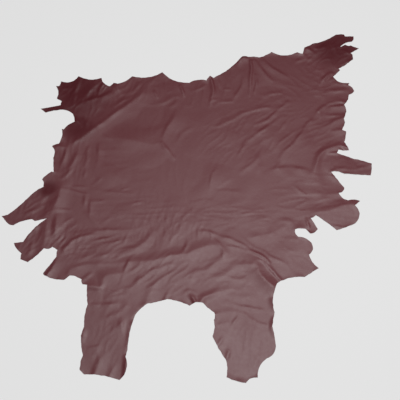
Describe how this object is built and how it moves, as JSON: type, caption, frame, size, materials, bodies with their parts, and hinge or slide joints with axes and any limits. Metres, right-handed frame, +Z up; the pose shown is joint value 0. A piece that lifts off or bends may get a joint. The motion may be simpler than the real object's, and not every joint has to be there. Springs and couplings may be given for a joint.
{
  "type": "leather hide",
  "caption": "Whole tanned cow hide laid flat, one soft burgundy leather sheet with a ragged rim, legs, flank flaps and low hollow folds.",
  "frame": {"origin": "on the floor, in the middle of the hide's bounding box", "axes": "+Z up from the floor through the sheet, +Y along the backbone towards the neck, +X to the right as seen from above with the neck away"},
  "size_m": [2.417, 2.4964, 0.0234],
  "materials": {
    "hide_leather": "dyed burgundy grain side, semi-matt with a soft sheen"
  },
  "bodies": {
    "root": {"hide": "hide_leather"}
  },
  "joints": []
}
